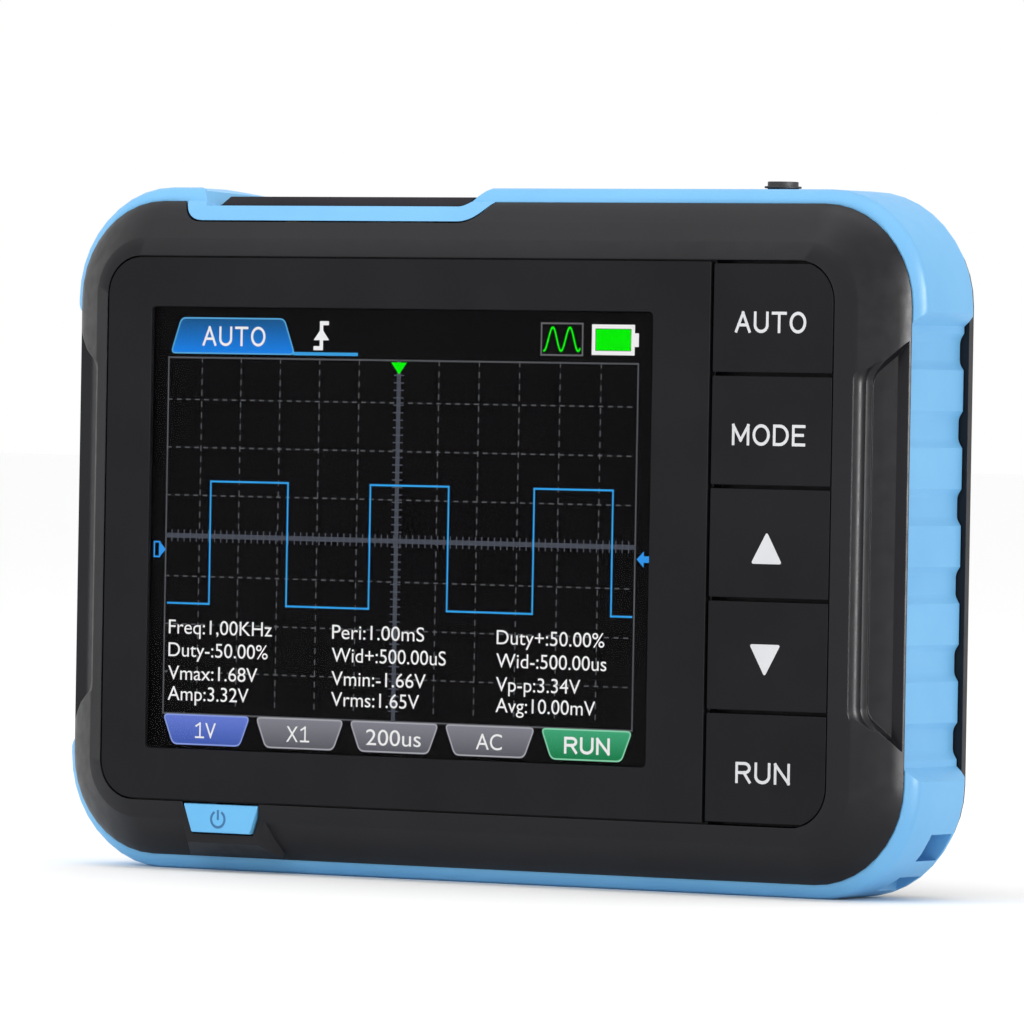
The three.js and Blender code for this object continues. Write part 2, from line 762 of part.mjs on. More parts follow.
add("main_board", mainBoard(), 0x1d6b3a);
add("port_tray", portTray(), 0x1b1c1e);
add("mcx_jack", mcxJack(), GOLD, { metalness: 1 });
add("mcx_insulator", mcxInsulator(), 0xf2f0ea);
add("mcx_contact", mcxContact(), GOLD, { metalness: 1 });
add("usb_port", usbPort(), STEEL, { metalness: 1 });
add("usb_tongue", usbTongue(), CHIP);
add("test_socket", testSocket(), CHIP);
add("test_contact", testContact(), GOLD, { metalness: 1 });
add("shield_can", shieldCan(), STEEL, { metalness: 1 });
add("processor_chip", chip(-4, 4, 10, 10, 1.2), CHIP);
add("sampler_chip", chip(10, 6, 7, 7, 1.0), CHIP);
add("memory_chip", chip(-4, -9, 6, 5, 1.2), CHIP);
add("charger_chip", chip(-4.5, 21.5, 4, 4, 1.0), CHIP);
add("inductor", chip(1.5, 21.5, 4, 4, 2.0), 0x3a3b3d);
add("crystal", chip(-17, 4, 5, 3.2, 1.1), STEEL);

add("battery_cell", batteryCell(), 0x9aa0a6);
add("battery_pad", box(-28, 18, BATTERY.back + 0.12, 15.98, -12, 12), 0x202020);
add("battery_connector", batteryConnector(), 0xeae6da);
add("battery_lead_plus", batteryLead(1), 0xc0281e);
add("battery_lead_minus", batteryLead(-1), 0x141414);

export default assembly;
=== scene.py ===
"""Looks of the handheld oscilloscope: materials, key legends, the lit screen picture, studio and camera.

Metres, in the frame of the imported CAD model: +X right seen from the front, the front faces -Y, +Z up.
"""
import math

import bpy
from mathutils import Matrix, Vector


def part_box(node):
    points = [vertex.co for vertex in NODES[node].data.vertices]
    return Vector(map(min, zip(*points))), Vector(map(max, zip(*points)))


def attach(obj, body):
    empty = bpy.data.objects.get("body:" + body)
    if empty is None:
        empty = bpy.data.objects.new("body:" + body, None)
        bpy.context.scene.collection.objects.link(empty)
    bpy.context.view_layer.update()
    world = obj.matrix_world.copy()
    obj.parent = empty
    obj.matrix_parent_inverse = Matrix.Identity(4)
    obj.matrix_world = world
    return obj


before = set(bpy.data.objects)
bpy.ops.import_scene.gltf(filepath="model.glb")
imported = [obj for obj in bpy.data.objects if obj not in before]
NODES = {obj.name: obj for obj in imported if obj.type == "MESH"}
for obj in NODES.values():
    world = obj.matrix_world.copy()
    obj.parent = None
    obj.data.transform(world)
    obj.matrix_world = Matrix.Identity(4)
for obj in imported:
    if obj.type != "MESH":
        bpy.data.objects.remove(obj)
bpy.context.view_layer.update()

MM = 0.001
MIDDLE_Z = 34.15 * MM

# ---------- camera and studio ----------

CAMERA_AT = (0.5076, -0.7989, 0.0467)
CAMERA_FORWARD = (-0.5364, 0.8439, -0.0108)
CAMERA_UP = (-0.0206, -0.0003, 0.9998)
CAMERA_LENS = 337.1
SENSOR = 36.0
NEAREST, FARTHEST = 0.01, 20  # that the camera sees
WORLD_LIGHT = 1.0
KEY_LIGHT = {"at": (-0.35, -0.6, 0.75), "size": (0.6, 0.4), "power": 1.0}
TOP_LIGHT = {"at": (0.0, -0.1, 0.8), "size": (0.7, 0.35), "power": 1.5}
# A tall strip on the right that shows only in reflections
SIDE_LIGHT = {"at": (0.587, -0.125, 0.08), "size": (0.07, 0.4), "power": 8.0, "gloss_only": True}
FLOOR_HALF = 6.0
FLOOR_SHADE = 0.97


def srgb(red, green, blue):
    """Linear colour from the usual 0 to 255 values."""

    def linear(value):
        value /= 255
        return value / 12.92 if value <= 0.04045 else ((value + 0.055) / 1.055) ** 2.4

    return linear(red), linear(green), linear(blue), 1.0


def link(obj):
    bpy.context.scene.collection.objects.link(obj)
    return obj


def make_camera():
    data = bpy.data.cameras.new("camera")
    data.lens = CAMERA_LENS
    data.sensor_width = SENSOR
    data.clip_start = NEAREST
    data.clip_end = FARTHEST
    camera = link(bpy.data.objects.new("camera", data))
    forward = Vector(CAMERA_FORWARD).normalized()
    right = forward.cross(Vector(CAMERA_UP)).normalized()
    up = right.cross(forward)
    turn = Matrix((right, up, -forward)).transposed().to_4x4()
    camera.matrix_world = Matrix.Translation(CAMERA_AT) @ turn
    bpy.context.scene.camera = camera


def area_light(name, at, size, power, gloss_only=False):
    """Soft rectangular light aimed at the instrument, out of the camera's sight."""
    data = bpy.data.lights.new(name, "AREA")
    data.shape = "RECTANGLE"
    data.size, data.size_y = size
    data.energy = power
    light = link(bpy.data.objects.new(name, data))
    light.visible_camera = False
    light.visible_diffuse = not gloss_only
    light.location = at
    towards = Vector((0, 0, MIDDLE_Z)) - Vector(at)
    light.rotation_euler = towards.to_track_quat("-Z", "Y").to_euler()


def make_studio():
    scene = bpy.context.scene
    scene.view_settings.view_transform = "Standard"
    world = bpy.data.worlds.new("studio")
    scene.world = world
    world.use_nodes = True
    background = world.node_tree.nodes["Background"]
    background.inputs["Color"].default_value = (1, 1, 1, 1)
    background.inputs["Strength"].default_value = WORLD_LIGHT
    area_light("key", **KEY_LIGHT)
    area_light("top", **TOP_LIGHT)
    area_light("side", **SIDE_LIGHT)
    floor_mesh = bpy.data.meshes.new("floor")
    corners = [(x * FLOOR_HALF, y * FLOOR_HALF, 0) for x, y in ((-1, -1), (1, -1), (1, 1), (-1, 1))]
    floor_mesh.from_pydata(corners, [], [(0, 1, 2, 3)])
    floor = link(bpy.data.objects.new("floor", floor_mesh))
    floor.data.materials.append(plain_floor())


def plain_floor():
    material, shader, _ = new_material("studio_floor")
    shader.inputs["Base Color"].default_value = (FLOOR_SHADE, FLOOR_SHADE, FLOOR_SHADE, 1)
    shader.inputs["Roughness"].default_value = 0.9
    return material


# ---------- materials ----------

EDGE = 0.00012  # width of the small rounded edges that the modifiers cut, metres
FINE_EDGE = 0.00005
POUCH_EDGE = 0.0003
SOFT_EDGE = 0.0001  # radius over which the shader softens an edge, metres
SOFT_SAMPLES = 4
EDGE_SEGMENTS = 2
WELD_DISTANCE = 0.000002
FLAT_ANGLE = math.radians(0.6)  # faces closer than this in direction are one flat face
ROUNDED_ANGLE = math.radians(32)  # edges sharper than this get rounded
SHARP_ANGLE = math.radians(33)  # and those still sharper than this stay sharp in shading
EVEN_WEIGHT = 60
BUMP_DEPTH = 0.0001
NOISE_LOW, NOISE_HIGH = 0.3, 0.7  # noise mostly lies between these
TONE_LOW, TONE_HIGH = 0.35, 0.65  # where a two-tone colour leaves one tone and reaches the other
BRUSHED = (1, 1, 12)  # how the noise of a metal is scaled, which draws it out into lines
METAL_SHADE = 0.85  # the darker tone of a metal, as a share of its colour


def new_material(name):
    material = bpy.data.materials.new(name)
    material.use_nodes = True
    tree = material.node_tree
    return material, tree.nodes["Principled BSDF"], tree


def coordinates(tree):
    return tree.nodes.new("ShaderNodeTexCoord").outputs["Object"]


def noise(tree, scale, detail=3.0, stretch=None):
    node = tree.nodes.new("ShaderNodeTexNoise")
    node.inputs["Scale"].default_value = scale
    node.inputs["Detail"].default_value = detail
    source = coordinates(tree)
    if stretch:
        mapping = tree.nodes.new("ShaderNodeMapping")
        mapping.inputs["Scale"].default_value = stretch
        tree.links.new(source, mapping.inputs["Vector"])
        source = mapping.outputs["Vector"]
    tree.links.new(source, node.inputs["Vector"])
    return node.outputs["Fac"]


def spread(tree, value, low, high):
    """The usual range of the noise mapped to low to high."""
    node = tree.nodes.new("ShaderNodeMapRange")
    node.inputs["From Min"].default_value = NOISE_LOW
    node.inputs["From Max"].default_value = NOISE_HIGH
    node.inputs["To Min"].default_value = low
    node.inputs["To Max"].default_value = high
    tree.links.new(value, node.inputs["Value"])
    return node.outputs["Result"]


def two_tone(tree, value, dark, light):
    ramp = tree.nodes.new("ShaderNodeValToRGB")
    ramp.color_ramp.elements[0].position = TONE_LOW
    ramp.color_ramp.elements[1].position = TONE_HIGH
    ramp.color_ramp.elements[0].color = dark
    ramp.color_ramp.elements[1].color = light
    tree.links.new(value, ramp.inputs["Fac"])
    return ramp.outputs["Color"]


def bump(tree, shader, height, strength, edge=0.0):
    """Bump from a height, over edges softened by `edge` metres."""
    node = tree.nodes.new("ShaderNodeBump")
    node.inputs["Strength"].default_value = strength
    node.inputs["Distance"].default_value = BUMP_DEPTH
    tree.links.new(height, node.inputs["Height"])
    if edge:
        soft = tree.nodes.new("ShaderNodeBevel")
        soft.samples = SOFT_SAMPLES
        soft.inputs["Radius"].default_value = edge
        tree.links.new(soft.outputs["Normal"], node.inputs["Normal"])
    tree.links.new(node.outputs["Normal"], shader.inputs["Normal"])


def moulded(name, dark, light, rough, grain=5200, depth=0.03, edge=SOFT_EDGE, specular=0.5):
    """Moulded plastic: slight mottling between two colours, a fine sparked texture and uneven gloss."""
    material, shader, tree = new_material(name)
    tone = two_tone(tree, noise(tree, 90), dark, light)
    tree.links.new(tone, shader.inputs["Base Color"])
    gloss = spread(tree, noise(tree, 700, 4), rough - 0.05, rough + 0.05)
    tree.links.new(gloss, shader.inputs["Roughness"])
    shader.inputs["Specular IOR Level"].default_value = specular
    bump(tree, shader, noise(tree, grain, 2), depth, edge)
    return material


def metal(name, colour, rough):
    """Brushed metal: fine lines in its colour, its gloss and its surface."""
    material, shader, tree = new_material(name)
    dark = tuple(c * METAL_SHADE for c in colour[:3]) + (1,)
    tone = two_tone(tree, noise(tree, 500, 3, BRUSHED), dark, colour)
    tree.links.new(tone, shader.inputs["Base Color"])
    shader.inputs["Metallic"].default_value = 1.0
    gloss = spread(tree, noise(tree, 900, 3, BRUSHED), rough - 0.06, rough + 0.08)
    tree.links.new(gloss, shader.inputs["Roughness"])
    bump(tree, shader, noise(tree, 3000, 2, BRUSHED), 0.05)
    return material


def clear_window():
    material, shader, tree = new_material("clear_window")
    shader.inputs["Base Color"].default_value = (0.01, 0.01, 0.012, 1)
    shader.inputs["Alpha"].default_value = 0.04
    gloss = spread(tree, noise(tree, 300), 0.05, 0.1)
    tree.links.new(gloss, shader.inputs["Roughness"])
    return material


def dark_display():
    material, shader, tree = new_material("dark_display")
    tone = two_tone(tree, noise(tree, 40), srgb(2, 1, 2), srgb(5, 4, 5))
    tree.links.new(tone, shader.inputs["Base Color"])
    shader.inputs["Specular IOR Level"].default_value = 0.02
    gloss = spread(tree, noise(tree, 200), 0.3, 0.4)
    tree.links.new(gloss, shader.inputs["Roughness"])
    return material


def lit(name, low_colour, high_colour=None, low_z=0.0, high_z=1.0):
    """Light given off by the screen, one colour or a gradient from low_z to high_z."""
    material, shader, tree = new_material(name)
    shader.inputs["Base Color"].default_value = (0, 0, 0, 1)
    shader.inputs["Specular IOR Level"].default_value = 0.0
    shader.inputs["Emission Strength"].default_value = 1.0
    if high_colour is None:
        shader.inputs["Emission Color"].default_value = low_colour
        return material
    axes = tree.nodes.new("ShaderNodeSeparateXYZ")
    tree.links.new(coordinates(tree), axes.inputs[0])
    span = tree.nodes.new("ShaderNodeMapRange")
    span.inputs["From Min"].default_value = low_z
    span.inputs["From Max"].default_value = high_z
    tree.links.new(axes.outputs["Z"], span.inputs["Value"])
    ramp = tree.nodes.new("ShaderNodeValToRGB")
    ramp.color_ramp.elements[0].color = low_colour
    ramp.color_ramp.elements[1].color = high_colour
    tree.links.new(span.outputs["Result"], ramp.inputs["Fac"])
    tree.links.new(ramp.outputs["Color"], shader.inputs["Emission Color"])
    return material


def board_green():
    material, shader, tree = new_material("board_green")
    tone = two_tone(tree, noise(tree, 400, 2, (1, 1, 6)), srgb(10, 60, 30), srgb(22, 92, 48))
    tree.links.new(tone, shader.inputs["Base Color"])
    shader.inputs["Roughness"].default_value = 0.3
    bump(tree, shader, noise(tree, 2500), 0.08)
    return material


def smooth(node, edge):
    """Clean normals and small rounded edges on a CAD node, by modifiers only."""
    for polygon in node.data.polygons:
        polygon.use_smooth = True
    weld = node.modifiers.new("weld", "WELD")
    weld.merge_threshold = WELD_DISTANCE
    flat = node.modifiers.new("merge_flats", "DECIMATE")
    flat.decimate_type = "DISSOLVE"
    flat.angle_limit = FLAT_ANGLE
    if edge:
        rounded = node.modifiers.new("rounded_edges", "BEVEL")
        rounded.width = edge
        rounded.segments = EDGE_SEGMENTS
        rounded.limit_method = "ANGLE"
        rounded.angle_limit = ROUNDED_ANGLE
        rounded.harden_normals = False
    split = node.modifiers.new("hard_edges", "EDGE_SPLIT")
    split.split_angle = SHARP_ANGLE
    even = node.modifiers.new("even_shading", "WEIGHTED_NORMAL")
    even.mode = "FACE_AREA"
    even.weight = EVEN_WEIGHT
    even.keep_sharp = True


def paint(material, *names, edge=EDGE):
    for name in names:
        node = NODES[name]
        node.data.materials.clear()
        node.data.materials.append(material)
        smooth(node, edge)


def paint_nodes():
    chips = [n for n in NODES if n.endswith("_chip") or n.startswith("switch_")]
    plungers = [n for n in NODES if n.startswith("plunger_")]
    screws = [n for n in NODES if n.startswith("rear_screw_")]
    keys = [n for n in NODES if n.startswith("key_")]

    shell = moulded("black_plastic", srgb(18, 18, 22), srgb(22, 22, 27), 0.38, specular=0.24)
    paint(shell, "front_shell", "rear_cover", "kickstand")
    bezel = moulded("bezel_plastic", srgb(20, 20, 23), srgb(25, 25, 29), 0.5, depth=0.008, specular=0.13)
    paint(bezel, "bezel_panel")
    cap = moulded("key_plastic", srgb(19, 19, 22), srgb(24, 24, 28), 0.5, depth=0.02, specular=0.13)
    paint(cap, *keys)
    tray = moulded("tray_plastic", srgb(34, 28, 32), srgb(44, 38, 42), 0.4, depth=0.01, specular=0.3)
    paint(tray, "port_tray")
    blue = moulded("blue_plastic", srgb(110, 178, 227), srgb(117, 184, 231), 0.42, depth=0.015, specular=0.3)
    paint(blue, "blue_shell")
    power = moulded("power_plastic", srgb(104, 184, 236), srgb(112, 190, 240), 0.4, depth=0.01, specular=0.3)
    paint(power, "power_button")

    paint(clear_window(), "display_window", edge=0)
    paint(dark_display(), "lcd_glass", edge=0)
    foam = moulded("black_foam", srgb(18, 18, 18), srgb(28, 28, 28), 0.95, grain=2500, depth=0.2)
    paint(foam, "lcd_gasket", "battery_pad", edge=0)
    white = moulded("white_frame", srgb(214, 216, 220), srgb(226, 228, 232), 0.4)
    paint(white, "backlight_unit", edge=FINE_EDGE)
    amber = moulded("amber_film", srgb(150, 84, 24), srgb(176, 104, 36), 0.3)
    paint(amber, "lcd_flex", edge=0)
    silicone = moulded("grey_silicone", srgb(120, 122, 126), srgb(134, 136, 140), 0.7)
    paint(silicone, "keypad_membrane", edge=0)

    resin = moulded("chip_resin", srgb(26, 26, 27), srgb(34, 34, 36), 0.55, grain=9000)
    paint(resin, *chips, "inductor", "usb_tongue", "test_socket", edge=FINE_EDGE)
    cream = moulded("cream_plastic", srgb(205, 198, 180), srgb(222, 215, 200), 0.45)
    paint(cream, *plungers, "flex_connector", "battery_connector", "mcx_insulator", edge=FINE_EDGE)
    paint(board_green(), "main_board", edge=0)

    gold = metal("plated_gold", (0.85, 0.62, 0.26, 1), 0.25)
    paint(gold, "mcx_jack", "mcx_contact", "test_contact", edge=FINE_EDGE)
    steel = metal("bright_steel", (0.62, 0.63, 0.65, 1), 0.28)
    paint(steel, "usb_port", "shield_can", "crystal", edge=FINE_EDGE)
    paint(metal("dark_steel", (0.16, 0.16, 0.17, 1), 0.35), *screws, edge=FINE_EDGE)

    foil = moulded("cell_foil", srgb(170, 174, 178), srgb(196, 200, 204), 0.35, grain=1200, depth=0.1)
    paint(foil, "battery_cell", edge=POUCH_EDGE)
    red = moulded("red_insulation", srgb(170, 24, 18), srgb(190, 34, 26), 0.45)
    paint(red, "battery_lead_plus", edge=0)
    black = moulded("black_insulation", srgb(20, 20, 20), srgb(30, 30, 30), 0.45)
    paint(black, "battery_lead_minus", edge=0)


# ---------- flat artwork ----------

CAP_SHARE = 0.7  # cap height of the built-in font as a share of its size
LETTER_SPACE = 0.34  # between letters, as a share of the cap height


def arc(middle_u, middle_v, half_u, half_v, start, end, steps=10):
    """Points on an ellipse from one angle to another, in degrees."""
    angles = [math.radians(start + (end - start) * i / steps) for i in range(steps + 1)]
    return [(middle_u + half_u * math.cos(a), middle_v + half_v * math.sin(a)) for a in angles]


# Each letter: its width, then its strokes as (across, up) points in cap heights
GLYPHS = {
    "A": (0.8, [[(0, 0), (0.4, 1), (0.8, 0)], [(0.14, 0.34), (0.66, 0.34)]]),
    "D": (0.76, [[(0, 0), (0, 1)] + arc(0.3, 0.5, 0.46, 0.5, 90, -90) + [(0, 0)]]),
    "E": (0.62, [[(0.62, 0), (0, 0), (0, 1), (0.62, 1)], [(0, 0.52), (0.54, 0.52)]]),
    "M": (0.86, [[(0, 0), (0, 1), (0.43, 0.2), (0.86, 1), (0.86, 0)]]),
    "N": (0.74, [[(0, 0), (0, 1), (0.74, 0), (0.74, 1)]]),
    "O": (0.84, [arc(0.42, 0.5, 0.42, 0.5, 0, 360, 20)]),
    "R": (0.72, [
        [(0, 0), (0, 1)] + arc(0.42, 0.75, 0.28, 0.25, 90, -90) + [(0, 0.5)],
        [(0.4, 0.5), (0.72, 0)],
    ]),
    "T": (0.76, [[(0, 1), (0.76, 1)], [(0.38, 1), (0.38, 0)]]),
    "U": (0.74, [[(0, 1)] + arc(0.37, 0.36, 0.37, 0.36, 180, 360) + [(0.74, 1)]]),
}


def rounded_polygon(corners, radius, steps=5):
    """The polygon with each corner rounded by a short curve."""
    result = []
    for i, corner in enumerate(corners):
        corner = Vector(corner)
        before = (Vector(corners[i - 1]) - corner).normalized() * radius
        after = (Vector(corners[(i + 1) % len(corners)]) - corner).normalized() * radius
        for s in range(steps + 1):
            t = s / steps
            point = corner + before * (1 - t) ** 2 + after * t**2
            result.append((point.x, point.y))
    return result


class Artwork:
    """Flat shapes gathered into one mesh that faces the front."""

    def __init__(self, y, rise=0.0):
        self.y = y
        self.rise = rise
        self.points = []
        self.faces = []

    def polygon(self, corners):
        """One face; corners run anticlockwise seen from the front, as (x, z)."""
        start = len(self.points)
        rise = len(self.faces) * self.rise
        self.points += [(x, self.y - rise, z) for x, z in corners]
        self.faces.append(tuple(range(start, start + len(corners))))

    def bar(self, left, right, low, high):
        self.polygon([(left, low), (right, low), (right, high), (left, high)])

    def stroke(self, a, b, width):
        """A straight line of that width from a to b, with its ends squared past the corners."""
        along = (Vector(b) - Vector(a)).normalized() * width / 2
        side = Vector((-along.y, along.x))
        start, end = Vector(a) - along, Vector(b) + along
        self.polygon([tuple(p) for p in (start - side, end - side, end + side, start + side)])

    def path(self, corners, width, closed=False):
        ends = corners[1:] + corners[:1] if closed else corners[1:]
        for a, b in zip(corners, ends):
            self.stroke(a, b, width)

    def letters(self, words, left, low, cap_height, width, weight):
        """Capitals in even strokes with their baseline at low, stretched to that width."""
        shapes = [GLYPHS[letter] for letter in words]
        total = sum(wide for wide, _ in shapes) + LETTER_SPACE * (len(words) - 1)
        stroke = weight * cap_height
        across = (width - stroke) / total
        up = cap_height - stroke
        x = left + stroke / 2
        base = low + stroke / 2
        for wide, lines in shapes:
            for line in lines:
                self.path([(x + u * across, base + v * up) for u, v in line], stroke)
            x += (wide + LETTER_SPACE) * across

    def text(self, words, left, low, cap_height, width):
        """Words in the built-in font with their baseline at low, stretched to that width."""
        curve = bpy.data.curves.new("words", "FONT")
        curve.body = words
        maker = link(bpy.data.objects.new("words", curve))
        bpy.context.view_layer.update()
        shaped = maker.evaluated_get(bpy.context.evaluated_depsgraph_get())
        mesh = bpy.data.meshes.new_from_object(shaped)
        across = [v.co.x for v in mesh.vertices]
        first, last = min(across), max(across)
        tall = cap_height / CAP_SHARE
        wide = width / (last - first)
        start = len(self.points)
        self.points += [
            (left + (v.co.x - first) * wide, self.y, low + v.co.y * tall) for v in mesh.vertices
        ]
        self.faces += [tuple(start + i for i in p.vertices) for p in mesh.polygons]
        bpy.data.meshes.remove(mesh)
        bpy.data.objects.remove(maker)
        bpy.data.curves.remove(curve)

    def build(self, name, material, body, slot_name):
        mesh = bpy.data.meshes.new(name)
        mesh.from_pydata(self.points, [], self.faces)
        mesh.materials.append(material)
        obj = link(bpy.data.objects.new(name, mesh))
        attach(obj, body)


# ---------- screen picture ----------

SCREEN_WIDE, SCREEN_HIGH = 320, 240  # display pixels: the picture is laid out in them
OPENING_LEFT = -37.06 * MM
OPENING_ABOVE_MIDDLE = 22.12 * MM
OPENING_WIDE, OPENING_HIGH = 58.78 * MM, 44.08 * MM
PICTURE_SHIFT = 0.25 * MM  # to the left
SCREEN_LEFT = OPENING_LEFT - PICTURE_SHIFT
SCREEN_TOP = MIDDLE_Z + OPENING_ABOVE_MIDDLE
UNIT_X = OPENING_WIDE / SCREEN_WIDE
UNIT_Z = OPENING_HIGH / SCREEN_HIGH
LAYER = 0.006 * MM  # from one layer of the picture to the next


def on_screen(u, v):
    """The (x, z) of a display pixel, counted right and down from the top left."""
    return SCREEN_LEFT + u * UNIT_X, SCREEN_TOP - v * UNIT_Z


def screen_box(left, right, top, bottom):
    """The corners of a rectangle of display pixels, clockwise from the top left."""
    return [on_screen(left, top), on_screen(right, top), on_screen(right, bottom), on_screen(left, bottom)]


def screen_bar(art, left, right, top, bottom):
    """A filled rectangle of display pixels."""
    x_left, low = on_screen(left, bottom)
    x_right, high = on_screen(right, top)
    art.bar(x_left, x_right, low, high)


def screen_layer(number):
    """Artwork in front of the display, that many layers up."""
    low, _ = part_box("lcd_glass")
    return Artwork(low.y - (number + 1) * LAYER)


GRID = {"left": 10.5, "right": 310.5, "top": 27.5, "bottom": 221.0}
GRID_MIDDLE = ((GRID["left"] + GRID["right"]) / 2 - 0.5, (GRID["top"] + GRID["bottom"]) / 2)
COLUMN_PITCH, COLUMNS_EACH_WAY = 25.5, 5
FIRST_ROW, ROW_PITCH, ROWS_EACH_WAY = 22.0, 26.0, 3
DASH, DASH_GAP = 3.0, 3.0
TICK_PITCH, TICK_HALF = 4.0, 2.9
WAVE_LOW, WAVE_HIGH = 161.0, 94.5
WAVE_EDGES = (39.5, 89.8, 143.0, 193.0, 247.0, 296.2)
TAB_TOP, TAB_BOTTOM, TAB_LEFT = 221.6, 237.4, 11.0
TAB_PITCH, TAB_WIDE, TAB_INSET = 60.8, 56.2, 6.3
TAB_ROUND = 3.0 * UNIT_X
LABEL_BASE, LABEL_CAP, DIGIT_WIDE = 234.0, 8.6, 5.6
SINE_STEPS = 40
TICK_LAYER = 1.5  # between the axes and the waveform
GRID_LINE, BORDER_LINE, AXIS_LINE, WAVE_LINE, RIM_LINE, SIGN_LINE = 0.7, 0.9, 2.6, 1.05, 0.8, 2.2


def both_ways(first, pitch, count):
    """Distances from the axis to each grid line, on both sides."""
    return [side * (first + k * pitch) for side in (-1, 1) for k in range(count)]


def marks_between(low, high, pitch):
    """Places from low to high, a pitch apart."""
    return [low + pitch * k for k in range(int((high - low) / pitch) + 1)]


def graticule():
    middle_u, middle_v = GRID_MIDDLE
    left, right, top, bottom = (GRID[side] for side in ("left", "right", "top", "bottom"))
    thin = GRID_LINE * UNIT_X

    lines = screen_layer(0)
    for away in both_ways(COLUMN_PITCH, COLUMN_PITCH, COLUMNS_EACH_WAY):
        for v in marks_between(top, bottom - DASH, DASH + DASH_GAP):
            u = middle_u + away
            lines.stroke(on_screen(u, v), on_screen(u, v + DASH - GRID_LINE), thin)
    for away in both_ways(FIRST_ROW, ROW_PITCH, ROWS_EACH_WAY):
        for u in marks_between(left, right - DASH, DASH + DASH_GAP):
            v = middle_v + away
            lines.stroke(on_screen(u, v), on_screen(u + DASH - GRID_LINE, v), thin)
    lines.path(screen_box(left, right, top, bottom), BORDER_LINE * UNIT_X, closed=True)
    lines.build("screen_graticule", lit("screen_grey", srgb(86, 88, 92)), "case", "display")

    axes = screen_layer(1)
    axes.stroke(on_screen(middle_u, top + 1), on_screen(middle_u, bottom - 1), AXIS_LINE * UNIT_X)
    axes.stroke(on_screen(left + 1, middle_v), on_screen(right - 1, middle_v), AXIS_LINE * UNIT_X)
    axes.build("screen_axes", lit("screen_slate", srgb(70, 74, 84)), "case", "display")

    ticks = screen_layer(TICK_LAYER)
    for u in marks_between(left + TICK_PITCH, right - TICK_PITCH, TICK_PITCH):
        ticks.stroke(on_screen(u, middle_v - TICK_HALF), on_screen(u, middle_v + TICK_HALF), thin)
    for v in marks_between(top + TICK_PITCH, bottom - TICK_PITCH, TICK_PITCH):
        ticks.stroke(on_screen(middle_u - TICK_HALF, v), on_screen(middle_u + TICK_HALF, v), thin)
    ticks.build("screen_ticks", lit("screen_tick_slate", srgb(76, 80, 90)), "case", "display")


def waveform():
    wave = screen_layer(2)
    corners = [(GRID["left"] + 2.0, WAVE_LOW)]
    level = WAVE_LOW
    for edge in WAVE_EDGES:
        corners.append((edge, level))
        level = WAVE_HIGH if level == WAVE_LOW else WAVE_LOW
        corners.append((edge, level))
    corners.append((GRID["right"] - 1.5, level))
    wave.path([on_screen(*c) for c in corners], WAVE_LINE * UNIT_X)
    wave.build("screen_waveform", lit("screen_wave_blue", srgb(52, 160, 232)), "case", "display")


def trapezoid(top_left, top_right, bottom_left, bottom_right, top, bottom):
    """The corners, anticlockwise from the bottom left."""
    return [
        on_screen(bottom_left, bottom),
        on_screen(bottom_right, bottom),
        on_screen(top_right, top),
        on_screen(top_left, top),
    ]


def tab(name, corners, low_colour, high_colour, rim):
    """A rounded tab with a colour that changes from its bottom to its top, and a rim."""
    low = min(z for _, z in corners)
    high = max(z for _, z in corners)
    corners = rounded_polygon(corners, TAB_ROUND)
    face = screen_layer(1)
    face.polygon(corners)
    glow = lit(f"tab_{name}", low_colour, high_colour, low, high)
    face.build(f"screen_tab_{name}", glow, "case", "display")
    outline = screen_layer(2)
    outline.path(corners, RIM_LINE * UNIT_X, closed=True)
    outline.build(f"screen_tab_{name}_rim", lit(f"rim_{name}", rim), "case", "display")


def tabs():
    mode = trapezoid(18.5, 85.5, 12.0, 92.5, 6.0, 25.0)
    tab("mode", mode, srgb(24, 130, 236), srgb(26, 84, 134), srgb(90, 170, 220))
    blue = (srgb(66, 92, 176), srgb(104, 126, 214), srgb(140, 160, 226))
    grey = (srgb(92, 92, 100), srgb(132, 132, 142), srgb(170, 170, 178))
    green = (srgb(20, 122, 72), srgb(66, 168, 122), srgb(140, 214, 176))
    row = (("volts", blue), ("probe", grey), ("time", grey), ("coupling", grey), ("state", green))
    for i, (name, colours) in enumerate(row):
        left = TAB_LEFT + i * TAB_PITCH
        right = left + TAB_WIDE
        corners = trapezoid(left, right, left + TAB_INSET, right - TAB_INSET, TAB_TOP, TAB_BOTTOM)
        tab(name, corners, *colours)
    underline = screen_layer(1)
    underline.stroke(on_screen(92.5, 24.6), on_screen(132.5, 24.6), 1.8 * UNIT_Z)
    underline.build("screen_underline", lit("screen_line_blue", srgb(60, 160, 225)), "case", "display")


# Each column of readouts: its left edge, its lines and their widths
READOUTS = (
    (13.5, ("Freq:1,00KHz", "Duty-:50.00%", "Vmax:1.68V", "Amp:3.32V"), (67.5, 65.0, 58.5, 53.0)),
    (120.0, ("Peri:1.00mS", "Wid+:500.00uS", "Vmin:-1.66V", "Vrms:1.65V"), (59.0, 73.0, 60.5, 56.5)),
    (225.0, ("Duty+:50.00%", "Wid-:500.00us", "Vp-p:3.34V", "Avg:10.00mV"), (67.5, 69.0, 53.0, 62.5)),
)
READOUT_ROWS = (177.6, 190.0, 202.6, 213.8)
READOUT_CAP = 7.7


def digit_one(art, left, base, wide, tall):
    """The digit 1 with its flag and foot, on the screen's own grid."""
    width = 0.95 * UNIT_X
    stem = left + wide * 0.56
    art.stroke(on_screen(stem, base - 0.5), on_screen(stem, base - tall + 0.5), width)
    art.stroke(on_screen(stem, base - tall + 0.5), on_screen(left + 0.6, base - tall + 2.0), width)
    art.stroke(on_screen(left + 0.4, base - 0.5), on_screen(left + wide - 0.2, base - 0.5), width)


